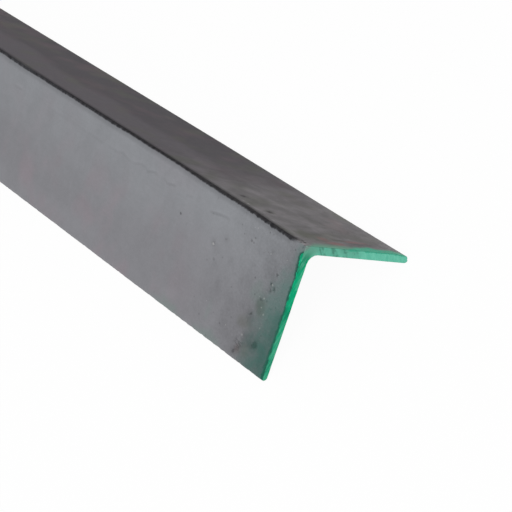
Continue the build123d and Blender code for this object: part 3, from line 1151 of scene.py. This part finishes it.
def make_floor(scene, stage):
    """A level floor that reads as white and still takes the bar's soft shadow."""
    mesh = bpy.data.meshes.new("floor")
    corners = [(x * FLOOR_REACH, y * FLOOR_REACH, 0) for x, y in ((-1, -1), (1, -1), (1, 1), (-1, 1))]
    mesh.from_pydata(corners, [], [(0, 1, 2, 3)])
    floor = bpy.data.objects.new("floor", mesh)
    scene.collection.objects.link(floor)
    material, bench = new_material("pale_floor")
    matt = bench.out("ShaderNodeBsdfDiffuse", {"Color": stage.floor})
    glow = bench.out("ShaderNodeEmission", {"Color": WHITE, "Strength": 1.0})
    mixed = bench.out("ShaderNodeMixShader", {0: seen_plainly(bench) * FLOOR_GLOW, 1: matt, 2: glow})
    bench.put("ShaderNodeOutputMaterial", {"Surface": mixed})
    mesh.materials.append(material)


def make_world(scene, stage):
    """A white surround for the eye, and an even level of light from it for the bar."""
    world = bpy.data.worlds.new("surround")
    world.use_nodes = True
    bench = Bench(world.node_tree)
    strength = seen_plainly(bench).ease(0.0, 1.0, stage.sky_level, 1.0)
    sky = bench.out("ShaderNodeBackground", {"Color": WHITE, "Strength": strength})
    bench.put("ShaderNodeOutputWorld", {"Surface": sky})
    scene.world = world


def make_key(scene, stage):
    """One large soft lamp on the left leg's side."""
    lamp = bpy.data.lights.new("key", "AREA")
    lamp.shape, lamp.size, lamp.energy = "DISK", KEY_SIZE, stage.key_power
    key = bpy.data.objects.new("key", lamp)
    aim = Vector(stage.target)
    key.location = aim + Vector(KEY_WAY).normalized() * KEY_DISTANCE
    key.rotation_mode = "QUATERNION"
    key.rotation_quaternion = (aim - key.location).to_track_quat("-Z", "Y")
    scene.collection.objects.link(key)


def make_camera(scene, stage):
    """The camera at its viewing angle."""
    data = bpy.data.cameras.new("camera")
    data.lens, data.clip_start, data.clip_end = stage.lens, 0.01, 100.0
    camera = bpy.data.objects.new("camera", data)
    scene.collection.objects.link(camera)
    back = Vector((np.sin(stage.azimuth) * np.cos(stage.elevation),
                   -np.cos(stage.azimuth) * np.cos(stage.elevation), np.sin(stage.elevation)))
    camera.location = Vector(stage.target) + back * stage.distance
    camera.rotation_mode = "QUATERNION"
    camera.rotation_quaternion = (-back).to_track_quat("-Z", "Y") @ Quaternion((0, 0, 1), stage.roll)
    scene.camera = camera


class ANGLE_PT_panel(bpy.types.Panel):
    """Sizes, finish and stage of the angle"""
    bl_idname = "ANGLE_PT_panel"
    bl_label = "Steel angle section"
    bl_space_type = "VIEW_3D"
    bl_region_type = "UI"
    bl_category = "Angle"

    def draw(self, context):
        for operator, groups in PANEL_ROWS:
            box = self.layout.box()
            for group in groups:
                settings = getattr(context.scene, group)
                for name in settings.__annotations__:
                    box.prop(settings, name)
            box.operator(operator)


PANEL_ROWS = (("angle.make_bar", ("angle_sizes", "angle_relief", "angle_finish")),
              ("angle.make_stage", ("angle_stage",)))
SETTINGS = {"angle_sizes": AngleSizes, "angle_relief": AngleRelief, "angle_finish": AngleFinish,
            "angle_stage": AngleStage}
OTHER_CLASSES = (ANGLE_OT_make_bar, ANGLE_OT_make_stage, ANGLE_PT_panel)


def register():
    for name, group in SETTINGS.items():
        bpy.utils.register_class(group)
        setattr(bpy.types.Scene, name, bpy.props.PointerProperty(type=group))
    for each in OTHER_CLASSES:
        bpy.utils.register_class(each)


def unregister():
    for each in reversed(OTHER_CLASSES):
        bpy.utils.unregister_class(each)
    for name, group in SETTINGS.items():
        delattr(bpy.types.Scene, name)
        bpy.utils.unregister_class(group)


def main():
    register()
    bpy.ops.angle.make_bar()
    bpy.ops.angle.make_stage()
    bpy.context.view_layer.update()


if __name__ == "__main__":
    main()
